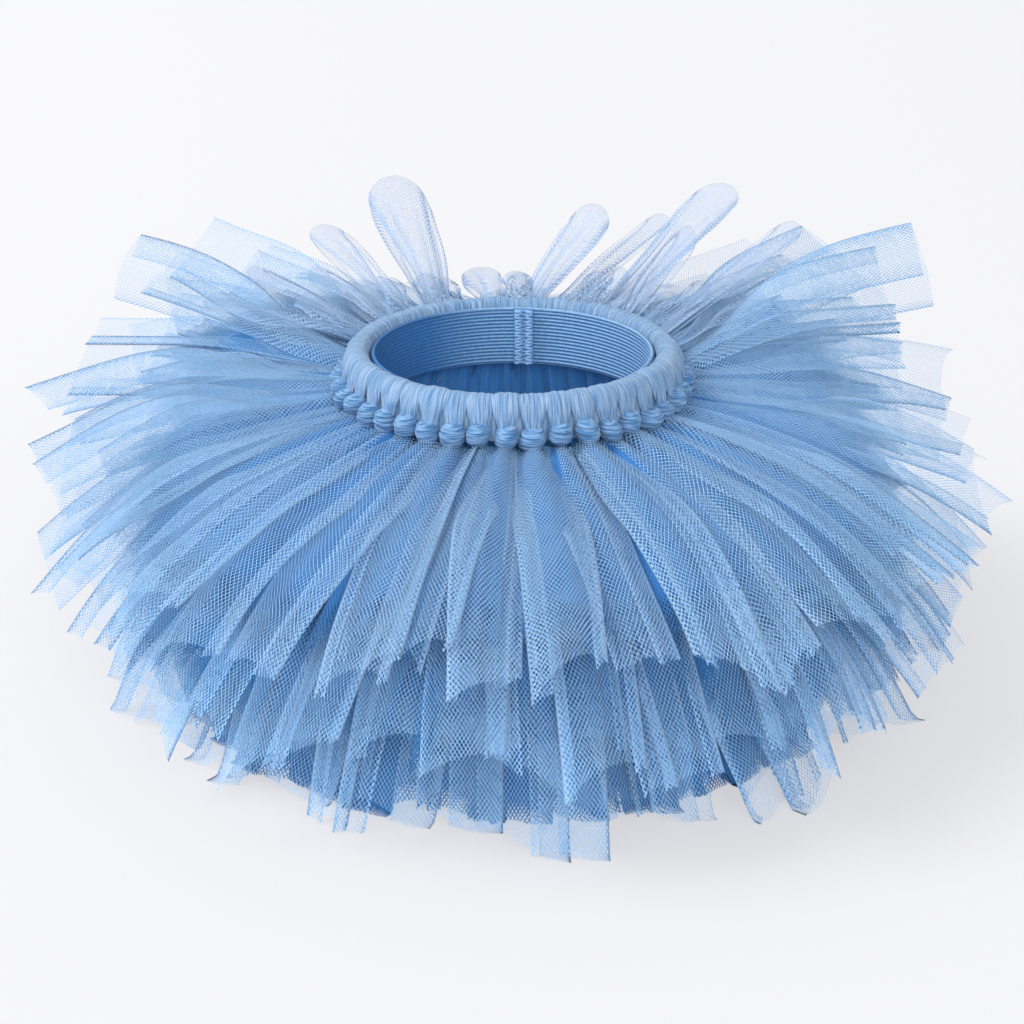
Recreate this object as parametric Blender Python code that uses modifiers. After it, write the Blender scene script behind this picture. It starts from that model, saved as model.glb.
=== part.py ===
"""A knotted-strip tulle tutu for a baby, standing on its hem.

Strips of tulle are wrapped over a band of ribbed elastic, knotted under it, and left
hanging in three rows that fan out from nearly level to the floor. The innermost
strips hang pressed together as one gathered wall, and ten strips at the back are
left folded as loops that stand up behind the waist.

Metres, +Z up. The origin is on the floor under the middle of the whole tutu's box,
which is within a millimetre of the middle of the waist. Azimuth 0 is the front (-Y),
90 is at +X and 180 is the back.
"""

import math
import random

import bmesh
import bpy
from mathutils import Vector

MM = 0.001
CUT_SEED = 7

# Driving dimensions
WAIST_RADIUS = 64 * MM  # inside face of the elastic, at rest
WAIST_TOP = 160 * MM  # crown of the wrapped roll above the floor
ELASTIC_WIDTH = 29 * MM
ELASTIC_THICKNESS = 1.6 * MM
ELASTIC_SET_DOWN = 3 * MM  # the roll stands this much above the elastic's top edge
LAP_WIDTH = 9 * MM  # where the elastic's two ends are lapped and sewn
LAP_AZIMUTH = 175.0
KNOTS = 42
FIRST_KNOT_AZIMUTH = -2.0
CLOTH = 1.2 * MM  # wall that stands for the layered tulle of one strip
SEAM_GAP = 0.3 * MM
FLOOR_GAP = 0.4 * MM

PITCH = 360.0 / KNOTS
ELASTIC_OUTSIDE = WAIST_RADIUS + ELASTIC_THICKNESS
ELASTIC_STEPS = 66

# One wrap and its knot, from the crown of the roll down to the underside of the knot:
# (drop below the crown, radius of the middle, half depth, share of the pitch filled)
HITCH_SECTIONS = [
    (1.0 * MM, 71.4 * MM, 3.6 * MM, 0.84),
    (3.4 * MM, 71.6 * MM, 5.6 * MM, 0.96),
    (7.4 * MM, 72.0 * MM, 6.0 * MM, 0.92),
    (10.8 * MM, 75.0 * MM, 4.2 * MM, 0.58),
    (13.0 * MM, 78.0 * MM, 5.6 * MM, 0.84),
    (16.0 * MM, 79.2 * MM, 6.6 * MM, 0.96),
    (19.2 * MM, 78.8 * MM, 4.8 * MM, 0.70),
]
HITCH_SIDES = 6
KNOT_DEPTH = 21.2 * MM  # underside of the knots below the crown

# Where each row of strips leaves the knots, and how the strips are cut.
# turn shifts a row round by a share of the pitch, so that gaps don't line up.
# fold is the height of the crease down each strip at its end.
ROWS = {
    "strips_top": {
        "radius": 77 * MM, "drop": 22.3 * MM, "root_slope": 0,
        "length": 150 * MM, "spread": 8 * MM,
        "turn": 0.0, "fold": 12 * MM, "stagger": 4.0 * MM, "fill": 0.96,
    },
    "strips_middle": {
        "radius": 76 * MM, "drop": 23.9 * MM, "root_slope": -20,
        "length": 156 * MM, "spread": 8 * MM,
        "turn": 0.5, "fold": 12 * MM, "stagger": 4.0 * MM, "fill": 0.96,
    },
    "strips_lower": {
        "radius": 75 * MM, "drop": 25.5 * MM, "root_slope": -42,
        "length": 164 * MM, "spread": 6 * MM,
        "turn": 0.25, "fold": 9 * MM, "stagger": 2.0 * MM, "fill": 0.94,
    },
}

# How a row hangs, by azimuth, the same on both sides: the slope of the strip from its
# root to its end, in degrees above level, how far it bends over on the way, and its
# length as a share of the row's.
HANG = {
    "strips_top": [
        {"azimuth": 0, "slope": -17, "bend": 16, "share": 1.0},
        {"azimuth": 60, "slope": -21, "bend": 15, "share": 0.99},
        {"azimuth": 90, "slope": -15, "bend": 12, "share": 0.94},
        {"azimuth": 104, "slope": -3, "bend": 7, "share": 0.94},
        {"azimuth": 118, "slope": 11, "bend": 3, "share": 0.92},
        {"azimuth": 135, "slope": 7, "bend": 3, "share": 0.92},
        {"azimuth": 158, "slope": -5, "bend": 7, "share": 0.90},
        {"azimuth": 180, "slope": -8, "bend": 9, "share": 0.90},
    ],
    "strips_middle": [
        {"azimuth": 0, "slope": -35, "bend": 16, "share": 1.0},
        {"azimuth": 30, "slope": -37, "bend": 16, "share": 1.0},
        {"azimuth": 60, "slope": -37, "bend": 15, "share": 1.04},
        {"azimuth": 90, "slope": -27, "bend": 13, "share": 1.0},
        {"azimuth": 106, "slope": -14, "bend": 8, "share": 0.95},
        {"azimuth": 120, "slope": -2, "bend": 4, "share": 0.93},
        {"azimuth": 136, "slope": -6, "bend": 5, "share": 0.92},
        {"azimuth": 158, "slope": -19, "bend": 10, "share": 0.92},
        {"azimuth": 180, "slope": -23, "bend": 12, "share": 0.92},
    ],
}
LOWER_BEND = 12.0  # the lower row's slope is the one that brings its ends to the floor

ROOT_LENGTH = 7 * MM  # strips are still pressed together this far from the knots
STRIP_STEPS = 4  # stretches along a strip past its root
STRIP_FACES = 2  # faces across a strip, one each side of its crease
NOTCH_SHARE = 0.89  # width of a strip, as a share of the pitch, where it comes free

# The innermost strips hang pressed together as one gathered wall, from behind the
# elastic to the floor:
# (radius of the middle of the waves, height, wave height)
INNER_SECTIONS = [
    (66.9 * MM, 145 * MM, 0.4 * MM),
    (70.5 * MM, 129 * MM, 1.4 * MM),
    (80 * MM, 98 * MM, 2.8 * MM),
    (94 * MM, 58 * MM, 4.0 * MM),
    (106 * MM, 16 * MM, 5.0 * MM),
    (106 * MM, 0.0, 5.0 * MM),
]
INNER_GATHERS = 42

# The strips left folded as loops, by the knot that each one leaves: its heading and
# lift in degrees, and its length, width and clearance from the knot in millimetres.
LOOPS = [
    {"knot": 15, "heading": 127.4, "lift": 27.1, "length": 100, "width": 18, "clear": 0.4},
    {"knot": 17, "heading": 113.8, "lift": 51.8, "length": 62, "width": 20, "clear": 1.3},
    {"knot": 18, "heading": 139.5, "lift": 25.1, "length": 120, "width": 28, "clear": 0.4},
    {"knot": 20, "heading": 139.1, "lift": 21.0, "length": 100, "width": 15, "clear": 0.4},
    {"knot": 21, "heading": 138.8, "lift": 39.8, "length": 75, "width": 25, "clear": 1.2},
    {"knot": 22, "heading": 186.6, "lift": 21.8, "length": 42, "width": 20, "clear": 0.3},
    {"knot": 24, "heading": 202.5, "lift": 41.6, "length": 90, "width": 30, "clear": 0.7},
    {"knot": 25, "heading": 214.4, "lift": 16.0, "length": 105, "width": 20, "clear": 0.3},
    {"knot": 26, "heading": 227.9, "lift": 18.7, "length": 65, "width": 14, "clear": 0.3},
    {"knot": 27, "heading": 235.4, "lift": 14.9, "length": 85, "width": 14, "clear": 0.3},
]
LOOP_ROOT_RADIUS = 85.8 * MM  # outer face of the knots
LOOP_ROOT_DROP = 16.0 * MM
LOOP_ROOT_WIDTH = 5 * MM
LOOP_ROOT_OPENING = 1.1 * MM  # half the space between the loop's two ends
LOOP_BELLY = 2.8 * MM  # half the space inside the loop at its fullest
LOOP_TIP_ROUNDING = 0.15  # how far the edges fall short of the middle at the tip
LOOP_STEPS = 10

BLUES = {
    "tulle": ((0.262, 0.447, 0.768, 1.0), 0.72),
    "tulle_pale": ((0.445, 0.600, 0.855, 1.0), 0.70),
    "tulle_deep": ((0.105, 0.262, 0.558, 1.0), 0.78),
    "elastic": ((0.124, 0.292, 0.604, 1.0), 0.62),
}


def clear_scene():
    for obj in list(bpy.data.objects):
        bpy.data.objects.remove(obj, do_unlink=True)


def make_material(name, colour, roughness):
    material = bpy.data.materials.new(name)
    material.use_nodes = True
    shader = material.node_tree.nodes["Principled BSDF"]
    shader.inputs["Base Color"].default_value = colour
    shader.inputs["Roughness"].default_value = roughness
    shader.inputs["Metallic"].default_value = 0.0
    return material


def add_object(name, bm, material, collection):
    """Puts a finished bmesh into the scene as one named, smooth-shaded object."""
    mesh = bpy.data.meshes.new(name)
    bm.to_mesh(mesh)
    bm.free()
    mesh.shade_smooth()
    mesh.set_sharp_from_angle(angle=math.radians(50))
    mesh.materials.append(material)
    obj = bpy.data.objects.new(name, mesh)
    collection.objects.link(obj)
    return obj


def give_thickness(obj, thickness):
    solidify = obj.modifiers.new("cloth", "SOLIDIFY")
    solidify.thickness = thickness
    solidify.offset = 0.0
    return obj


def polar(azimuth, radius, height):
    """A point from its azimuth in degrees, 0 at the front (-Y) and 90 at +X."""
    angle = math.radians(azimuth)
    return Vector((radius * math.sin(angle), -radius * math.cos(angle), height))


def new_grid(bm, across, along):
    """A flat grid in bm as (vertex, u from -1 to 1, v from 0 to 1) for each corner."""
    made = bmesh.ops.create_grid(bm, x_segments=across, y_segments=along, size=1.0)
    return [(v, v.co.x, (v.co.y + 1) / 2) for v in made["verts"]]


def at_azimuth(stations, column, azimuth):
    """Reads a column of a table of stations at an azimuth, the same on both sides."""
    angle = abs((azimuth + 180) % 360 - 180)
    for low, high in zip(stations, stations[1:]):
        if angle <= high["azimuth"]:
            share = (angle - low["azimuth"]) / (high["azimuth"] - low["azimuth"])
            smooth = share * share * (3 - 2 * share)
            return low[column] + (high[column] - low[column]) * smooth
    return stations[-1][column]


def arc_point(length, slope, bend, s):
    """(out, up, direction) at s along a strip whose direction falls evenly.

    The direction goes from slope + bend at the root to slope - bend at the end, so the
    straight line from root to end has that slope."""
    first, turn = math.radians(slope + bend), math.radians(bend)
    here = first - 2 * turn * s / length
    scale = length / (2 * turn)
    out = scale * (math.sin(first) - math.sin(here))
    up = scale * (math.cos(here) - math.cos(first))
    return out, up, here


def slope_to_floor(root_height, length, bend):
    """The slope that brings the end of a strip down to just above the floor."""
    turn = math.radians(bend)
    straight = length * math.sin(turn) / turn
    return -math.degrees(math.asin((root_height - FLOOR_GAP) / straight))


def elastic_band(material, collection):
    """The ribbed elastic that lines the waist: a flat ring, turned from its section."""
    top = WAIST_TOP - ELASTIC_SET_DOWN
    outside, inside = ELASTIC_OUTSIDE, WAIST_RADIUS
    corners = [
        (outside, top), (outside, top - ELASTIC_WIDTH),
        (inside, top - ELASTIC_WIDTH), (inside, top),
    ]
    bm = bmesh.new()
    verts = [bm.verts.new((radius, 0, height)) for radius, height in corners]
    for a, b in zip(verts, verts[1:] + verts[:1]):
        bm.edges.new((a, b))
    obj = add_object("elastic_band", bm, material, collection)
    screw = obj.modifiers.new("turn", "SCREW")
    screw.angle = math.tau
    screw.steps = screw.render_steps = ELASTIC_STEPS
    screw.use_merge_vertices = True
    screw.merge_threshold = 0.0001
    return obj


def elastic_lap(material, collection):
    """The sewn-down end of the elastic, lapped over its inside face at the back."""
    middle = WAIST_RADIUS - SEAM_GAP - CLOTH / 2
    half_angle = math.degrees(LAP_WIDTH / 2 / middle)
    top = WAIST_TOP - ELASTIC_SET_DOWN
    bm = bmesh.new()
    for vert, u, v in new_grid(bm, 3, 1):
        azimuth = LAP_AZIMUTH + half_angle * u
        vert.co = polar(azimuth, middle, top - ELASTIC_WIDTH * (1 - v))
    return give_thickness(add_object("elastic_lap", bm, material, collection), CLOTH)


def hitch(index, material, collection):
    """One strip's wrap round the waist roll and the knot under it, as one solid."""
    azimuth = FIRST_KNOT_AZIMUTH + PITCH * index
    bm = bmesh.new()
    rings = len(HITCH_SECTIONS) + 1
    bmesh.ops.create_uvsphere(
        bm, u_segments=HITCH_SIDES, v_segments=rings, radius=1.0
    )
    for vert in bm.verts:
        ring = round(math.acos(max(-1, min(1, vert.co.z))) / math.pi * rings)
        if ring == 0:
            vert.co = polar(azimuth, HITCH_SECTIONS[0][1], WAIST_TOP)
            continue
        if ring == rings:
            vert.co = polar(azimuth, HITCH_SECTIONS[-1][1], WAIST_TOP - KNOT_DEPTH)
            continue
        drop, middle, depth, share = HITCH_SECTIONS[ring - 1]
        side = math.atan2(vert.co.x, -vert.co.y)
        radius = middle + depth * math.cos(side)
        clear = math.degrees(SEAM_GAP / 2 / radius)
        turn = (share * PITCH / 2 - clear) * math.sin(side) / math.sin(math.tau / HITCH_SIDES)
        vert.co = polar(azimuth + turn, radius, WAIST_TOP - drop)
    return add_object(f"hitch_{index + 1:02d}", bm, material, collection)


def hang_strip(bm, name, index, cut):
    """Lays one strip of a row out as a flat grid, then moves it to where it hangs.

    The first face along is the strip's share of the ring that the row is pressed into
    under the knots, the same for every strip, and the others are the strip itself."""
    row = ROWS[name]
    middle = FIRST_KNOT_AZIMUTH + PITCH * (index + row["turn"])
    root_slope = math.radians(row["root_slope"])
    root_end = row["radius"] + ROOT_LENGTH * math.cos(root_slope)
    root_height = WAIST_TOP - row["drop"] + ROOT_LENGTH * math.sin(root_slope)
    length = row["length"] + row["spread"] * cut.uniform(-1, 1)
    sway = cut.uniform(-0.015, 0.015) * PITCH
    on_floor = name not in HANG
    if on_floor:
        slope, bend = slope_to_floor(root_height, length, LOWER_BEND), LOWER_BEND
    else:
        length *= at_azimuth(HANG[name], "share", middle)
        slope = at_azimuth(HANG[name], "slope", middle)
        bend = at_azimuth(HANG[name], "bend", middle)
    stagger = row["stagger"] * (1 if index % 2 else -1)
    for vert, u, v in new_grid(bm, STRIP_FACES, STRIP_STEPS + 1):
        step = round(v * (STRIP_STEPS + 1))
        if step == 0:
            height = WAIST_TOP - row["drop"]
            vert.co = polar(middle + u * PITCH / 2, row["radius"], height)
            continue
        free = (step - 1) / STRIP_STEPS
        out, up, here = arc_point(length, slope, bend, length * free)
        lift = (stagger + row["fold"] * (0.5 - abs(u))) * free
        if on_floor:
            lift *= 2 * (1 - free)
        radius = root_end + out - lift * math.sin(here)
        height = root_height + up + lift * math.cos(here)
        share = NOTCH_SHARE + (row["fill"] - NOTCH_SHARE) * (free * STRIP_STEPS - 1) / (
            STRIP_STEPS - 1
        )
        if free == 0:
            share = 1.0
        vert.co = polar(middle + sway * free + u * share * PITCH / 2, radius, height)


def strip_row(name, material, collection):
    """A row of strips: pressed into one ring under the knots, and apart past it."""
    cut = random.Random(CUT_SEED + sorted(ROWS).index(name))
    bm = bmesh.new()
    for index in range(KNOTS):
        hang_strip(bm, name, index, cut)
    bmesh.ops.remove_doubles(bm, verts=bm.verts, dist=0.02 * MM)
    bmesh.ops.recalc_face_normals(bm, faces=bm.faces)
    return give_thickness(add_object(name, bm, material, collection), CLOTH)


def strips_inner(material, collection):
    """The innermost layer, which the tutu stands on, ending in a flat hem."""
    columns = 2 * INNER_GATHERS
    bm = bmesh.new()
    for vert, u, v in new_grid(bm, columns, len(INNER_SECTIONS) - 1):
        column = round((u + 1) / 2 * columns)
        radius, height, wave = INNER_SECTIONS[
            round(v * (len(INNER_SECTIONS) - 1))
        ]
        radius += wave * (1 if column % 2 else -1)
        vert.co = polar(360.0 * column / columns, radius, height)
    bmesh.ops.remove_doubles(bm, verts=bm.verts, dist=0.02 * MM)
    bmesh.ops.recalc_face_normals(bm, faces=bm.faces)
    return give_thickness(add_object("strips_inner", bm, material, collection), CLOTH)


def back_loop(number, loop, material, collection):
    """A strip folded back on itself: out along its upper half and back along its lower."""
    heading, lift = math.radians(loop["heading"]), math.radians(loop["lift"])
    level = Vector((math.sin(heading), -math.cos(heading), 0))
    ahead = level * math.cos(lift) + Vector((0, 0, math.sin(lift)))
    above = Vector((0, 0, math.cos(lift))) - level * math.sin(lift)
    sideways = ahead.cross(above)
    knot_azimuth = FIRST_KNOT_AZIMUTH + PITCH * loop["knot"]
    root_radius = LOOP_ROOT_RADIUS + loop["clear"] * MM
    root = polar(knot_azimuth, root_radius, WAIST_TOP - LOOP_ROOT_DROP)
    bm = bmesh.new()
    for vert, u, v in new_grid(bm, 4, LOOP_STEPS):
        share_out = (1 - math.cos(math.tau * v)) / 2
        out = loop["length"] * MM * share_out * (1 - LOOP_TIP_ROUNDING * u * u * share_out)
        half_open = LOOP_ROOT_OPENING * math.cos(math.pi * v)
        half_open += LOOP_BELLY * math.sin(math.tau * v) * math.sin(math.pi * v)
        full = min(1.0, 2.2 * share_out)
        width = LOOP_ROOT_WIDTH + (loop["width"] * MM - LOOP_ROOT_WIDTH) * full
        vert.co = root + ahead * out + above * half_open + sideways * (u * width / 2)
    bmesh.ops.recalc_face_normals(bm, faces=bm.faces)
    name = f"back_loop_{number:02d}"
    return give_thickness(add_object(name, bm, material, collection), CLOTH)


def centre_over_origin(collection):
    """Moves the finished tutu sideways so that its box stands centred on the origin."""
    depsgraph = bpy.context.evaluated_depsgraph_get()
    low = [float("inf"), float("inf")]
    high = [float("-inf"), float("-inf")]
    for obj in collection.objects:
        shape = obj.evaluated_get(depsgraph)
        for corner in shape.bound_box:
            low = [min(a, b) for a, b in zip(low, corner)]
            high = [max(a, b) for a, b in zip(high, corner)]
    for obj in collection.objects:
        obj.location.x -= (low[0] + high[0]) / 2
        obj.location.y -= (low[1] + high[1]) / 2


def main():
    clear_scene()
    collection = bpy.data.collections.new("tutu")
    bpy.context.scene.collection.children.link(collection)
    blues = {name: make_material(name, *look) for name, look in BLUES.items()}
    elastic_band(blues["elastic"], collection)
    elastic_lap(blues["elastic"], collection)
    for index in range(KNOTS):
        hitch(index, blues["tulle"], collection)
    for name in ROWS:
        strip_row(name, blues["tulle"], collection)
    strips_inner(blues["tulle_deep"], collection)
    for number, loop in enumerate(LOOPS, start=1):
        back_loop(number, loop, blues["tulle_pale"], collection)
    centre_over_origin(collection)


main()
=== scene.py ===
import math
import random

import bmesh
import bpy
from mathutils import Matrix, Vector


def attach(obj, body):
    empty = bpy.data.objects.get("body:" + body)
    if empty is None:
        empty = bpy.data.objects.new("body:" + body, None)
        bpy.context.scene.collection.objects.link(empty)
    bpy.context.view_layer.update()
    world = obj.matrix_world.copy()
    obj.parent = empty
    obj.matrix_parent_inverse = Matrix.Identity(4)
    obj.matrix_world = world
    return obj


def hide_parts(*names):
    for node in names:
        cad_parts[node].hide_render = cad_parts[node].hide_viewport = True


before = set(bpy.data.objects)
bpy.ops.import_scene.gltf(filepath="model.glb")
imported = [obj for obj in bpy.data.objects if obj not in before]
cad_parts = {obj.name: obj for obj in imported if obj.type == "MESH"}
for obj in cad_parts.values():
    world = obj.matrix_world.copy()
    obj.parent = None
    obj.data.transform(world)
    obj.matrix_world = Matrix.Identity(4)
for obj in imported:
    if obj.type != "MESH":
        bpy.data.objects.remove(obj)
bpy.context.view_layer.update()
print("frame loaded")

# lengths are in metres; an azimuth is in degrees, 0 at the front and 90 at +X
tutu = {
    "knots": 42,
    "firstKnot": -2.0,
    "middle": (0.00092, 0.00022),  # where the middle of the waist stands
    "floorGap": 0.0004,
}
tutu["pitch"] = 360 / tutu["knots"]


def roundWaist(azimuth, radius, height):
    angle = math.radians(azimuth)
    x, y = tutu["middle"]
    return Vector((x + radius * math.sin(angle), y - radius * math.cos(angle), height))


def directionsAt(azimuth):
    angle = math.radians(azimuth)
    outwards = Vector((math.sin(angle), -math.cos(angle), 0))
    sideways = Vector((math.cos(angle), math.sin(angle), 0))
    return outwards, sideways


def fromFront(azimuth):
    # -180 to 180, so that its size says how far round to the back a place is
    return (azimuth + 180) % 360 - 180


def knotAzimuth(number):
    return tutu["firstKnot"] + tutu["pitch"] * number


def smooth(value, low=0.0, high=1.0):
    share = min(1.0, max(0.0, (value - low) / (high - low)))
    return share * share * (3 - 2 * share)


def between(stations, at):
    # the values at a place along a table, where 1.5 is half way from its second row to its third
    low = min(int(at), len(stations) - 2)
    return [a + (b - a) * (at - low) for a, b in zip(stations[low], stations[low + 1])]


def turned(x, y, angle):
    return x * math.cos(angle) - y * math.sin(angle), x * math.sin(angle) + y * math.cos(angle)


def gridIn(bm, columns, rows):
    # each vertex with its column and row
    made = bmesh.ops.create_grid(bm, x_segments=columns - 1, y_segments=rows - 1, size=1)
    return [(v, round((v.co.x + 1) / 2 * (columns - 1)), round((v.co.y + 1) / 2 * (rows - 1)))
            for v in made["verts"]]


def layFlat(bm, flatPlaces):
    # writes the cloth's own flat places as its UV map
    layer = bm.loops.layers.uv.get("cut") or bm.loops.layers.uv.new("cut")
    for vert, place in flatPlaces:
        for loop in vert.link_loops:
            loop[layer].uv = place


def addObject(name, data):
    made = bpy.data.objects.new(name, data)
    bpy.context.scene.collection.objects.link(made)
    return made


def meshFrom(name, bm, material):
    mesh = bpy.data.meshes.new(name)
    bm.to_mesh(mesh)
    bm.free()
    mesh.materials.append(material)
    return mesh


def addPiece(name, bm, material, nodes=()):
    mesh = meshFrom(name, bm, material)
    mesh.shade_smooth()
    piece = addObject(name, mesh)
    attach(piece, "root")
    if nodes:
        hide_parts(*nodes)
    print("made", name, len(mesh.polygons))
    return piece


def wire(tree, value, socket):
    if isinstance(value, bpy.types.NodeSocket):
        tree.links.new(value, socket)
    else:
        socket.default_value = value


def setOn(node, values):
    for name, value in values.items():
        node.inputs[name].default_value = value


def calc(tree, operation, *values, clamp=False):
    node = tree.nodes.new("ShaderNodeMath")
    node.operation = operation
    node.use_clamp = clamp
    for value, socket in zip(values, node.inputs):
        wire(tree, value, socket)
    return node.outputs[0]


def mixColour(tree, share, first, second, blend="MIX"):
    node = tree.nodes.new("ShaderNodeMix")
    node.data_type = "RGBA"
    node.blend_type = blend
    wire(tree, share, node.inputs["Factor"])
    wire(tree, first, node.inputs["A"])
    wire(tree, second, node.inputs["B"])
    return node.outputs["Result"]


def mapRange(tree, value, given, made):
    node = tree.nodes.new("ShaderNodeMapRange")
    setOn(node, dict(zip(("From Min", "From Max", "To Min", "To Max"), (*given, *made))))
    wire(tree, value, node.inputs["Value"])
    return node.outputs["Result"]


def splitPlace(tree, place):
    node = tree.nodes.new("ShaderNodeSeparateXYZ")
    wire(tree, place, node.inputs[0])
    return node.outputs


def newMaterial(name):
    material = bpy.data.materials.new(name)
    material.use_nodes = True
    tree = material.node_tree
    return material, tree, tree.nodes["Principled BSDF"]


def attribute(tree, name):
    node = tree.nodes.new("ShaderNodeAttribute")
    node.attribute_name = name
    return node.outputs["Fac"]


def cutMap(tree):
    node = tree.nodes.new("ShaderNodeUVMap")
    node.uv_map = "cut"
    return node.outputs["UV"]


def bump(tree, height, distance, strength, shader):
    node = tree.nodes.new("ShaderNodeBump")
    setOn(node, {"Distance": distance, "Strength": strength})
    wire(tree, height, node.inputs["Height"])
    wire(tree, node.outputs["Normal"], shader.inputs["Normal"])


def stretchedNoise(tree, vector, scale, detail=0.0):
    place = tree.nodes.new("ShaderNodeMapping")
    setOn(place, {"Scale": scale})
    wire(tree, vector, place.inputs["Vector"])
    noise = tree.nodes.new("ShaderNodeTexNoise")
    noise.noise_dimensions = "2D"
    setOn(noise, {"Scale": 1.0, "Detail": detail})
    wire(tree, place.outputs["Vector"], noise.inputs["Vector"])
    return noise.outputs["Fac"]


def clothSheen(shader, weight):
    setOn(shader, {"Sheen Weight": weight, "Sheen Roughness": 0.45, "Sheen Tint": (0.75, 0.87, 1.0, 1)})


# the net of every tulle: two families of slanting threads, which leave rows of long diamond holes
def tulleNetGroup():
    threadEdge, holeEdge, closing = 4.0, 20.0, 1.1
    tree = bpy.data.node_groups.new("tulleNet", "ShaderNodeTree")
    tree.interface.new_socket("Cut", in_out="INPUT", socket_type="NodeSocketVector")
    for name in ("Hole Width", "Hole Length", "Thread", "Closed"):
        tree.interface.new_socket(name, in_out="INPUT", socket_type="NodeSocketFloat")
    for name in ("Threads", "Alpha"):
        tree.interface.new_socket(name, in_out="OUTPUT", socket_type="NodeSocketFloat")
    given = tree.nodes.new("NodeGroupInput").outputs
    made = tree.nodes.new("NodeGroupOutput").inputs
    parts = splitPlace(tree, given["Cut"])
    across = calc(tree, "DIVIDE", calc(tree, "MULTIPLY", parts["X"], math.pi), given["Hole Width"])
    along = calc(tree, "DIVIDE", calc(tree, "MULTIPLY", parts["Y"], math.pi), given["Hole Length"])
    right = calc(tree, "ABSOLUTE", calc(tree, "SINE", calc(tree, "ADD", across, along)))
    left = calc(tree, "ABSOLUTE", calc(tree, "SINE", calc(tree, "SUBTRACT", across, along)))
    hole = calc(tree, "SMOOTH_MIN", right, left, 0.25)
    onThread = calc(tree, "SUBTRACT", given["Thread"], hole)
    wire(tree, calc(tree, "MULTIPLY_ADD", onThread, threadEdge, 0.5, clamp=True), made["Threads"])
    reach = calc(tree, "MULTIPLY_ADD", given["Closed"], closing, given["Thread"])
    onCloth = calc(tree, "SUBTRACT", reach, hole)
    wire(tree, calc(tree, "MULTIPLY_ADD", onCloth, holeEdge, 0.5, clamp=True), made["Alpha"])
    return tree


netGroup = tulleNetGroup()


def netIn(tree, cut, hole, thread):
    net = tree.nodes.new("ShaderNodeGroup")
    net.node_tree = netGroup
    setOn(net, {"Hole Width": hole[0], "Hole Length": hole[1], "Thread": thread})
    wire(tree, cut, net.inputs["Cut"])
    return net


def tulle(name, look):
    material, tree, shader = newMaterial(name)
    cut = cutMap(tree)
    edge = attribute(tree, "edge")
    net = netIn(tree, cut, look["hole"], look["thread"])
    wire(tree, calc(tree, "ADD", attribute(tree, "closed"), edge), net.inputs["Closed"])
    colour = mixColour(tree, net.outputs["Threads"], look["deep"], look["light"])
    if "streak" in look:
        streaks = stretchedNoise(tree, cut, (420, 24, 1))
        shade = calc(tree, "MULTIPLY_ADD", streaks, look["streak"], 1 - look["streak"] / 2)
        colour = mixColour(tree, 1.0, colour, shade, "MULTIPLY")
        relief = calc(tree, "MULTIPLY_ADD", streaks, 1.6, net.outputs["Threads"])
        bump(tree, relief, 0.0003, look["relief"], shader)
    colour = mixColour(tree, attribute(tree, "shaded"), colour, look["shade"])
    onEdge = calc(tree, "MULTIPLY", edge, look["edgeShow"], clamp=True)
    wire(tree, mixColour(tree, onEdge, colour, look["edge"]), shader.inputs["Base Color"])
    wire(tree, net.outputs["Alpha"], shader.inputs["Alpha"])
    setOn(shader, {"Roughness": look["roughness"], "Specular IOR Level": 0.25})
    clothSheen(shader, look["sheen"])
    return material


tulles = {
    "veil": {  # the top row
        "hole": (0.0018, 0.0028), "thread": 0.17,
        "light": (0.365, 0.575, 0.815, 1), "deep": (0.115, 0.305, 0.590, 1),
        "shade": (0.125, 0.285, 0.500, 1), "edge": (0.42, 0.60, 0.81, 1),
        "edgeShow": 0.7, "roughness": 0.85, "sheen": 0.22,
    },
    "litLowVeil": {  # the middle and lower rows: a lighter copy of the top row's veil, painted light where the rows above shade them
        "hole": (0.0018, 0.0028), "thread": 0.17,
        "light": (0.375, 0.615, 0.900, 1), "deep": (0.105, 0.320, 0.650, 1),
        "shade": (0.085, 0.255, 0.510, 1), "edge": (0.44, 0.64, 0.88, 1),
        "edgeShow": 0.7, "roughness": 0.85, "sheen": 0.22,
    },
    "under": {  # the layers under each row, which let no light through; their deep blue is partly the stacked tulle's own and partly painted shade from the rows over them
        "hole": (0.0018, 0.0028), "thread": 0.20,
        "light": (0.072, 0.245, 0.520, 1), "deep": (0.022, 0.132, 0.375, 1),
        "shade": (0.030, 0.165, 0.420, 1), "edge": (0.16, 0.38, 0.70, 1),
        "edgeShow": 0.6, "roughness": 0.9, "sheen": 0.10,
        "streak": 0.40, "relief": 0.6,
    },
    # the inner wall: its deep blue is partly the pressed tulle's own and partly painted shade inside the
    # waist
    "inner": {
        "hole": (0.0018, 0.0028), "thread": 0.18,
        "light": (0.115, 0.340, 0.670, 1), "deep": (0.036, 0.195, 0.510, 1),
        "shade": (0.080, 0.255, 0.540, 1), "edge": (0.16, 0.36, 0.66, 1),
        "edgeShow": 0.4, "roughness": 0.9, "sheen": 0.10,
        "streak": 0.60, "relief": 0.5,
    },
    "loop": {
        "hole": (0.0013, 0.0019), "thread": 0.18,
        "light": (0.39, 0.49, 0.66, 1), "deep": (0.27, 0.40, 0.59, 1),
        "shade": (0.145, 0.300, 0.530, 1), "edge": (0.30, 0.44, 0.68, 1),
        "edgeShow": 0.55, "roughness": 0.85, "sheen": 0.2,
    },
}
tulleMaterials = {name: tulle("tulle_" + name, look) for name, look in tulles.items()}
print("tulles ready")


def archPoint(length, slope, bend, s):
    # out, up and heading at s along a strip that bends over evenly
    first, turn = math.radians(slope + bend), math.radians(bend)
    here = first - 2 * turn * s / length
    scale = length / (2 * turn)
    return scale * (math.sin(first) - math.sin(here)), scale * (math.cos(here) - math.cos(first)), here


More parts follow.
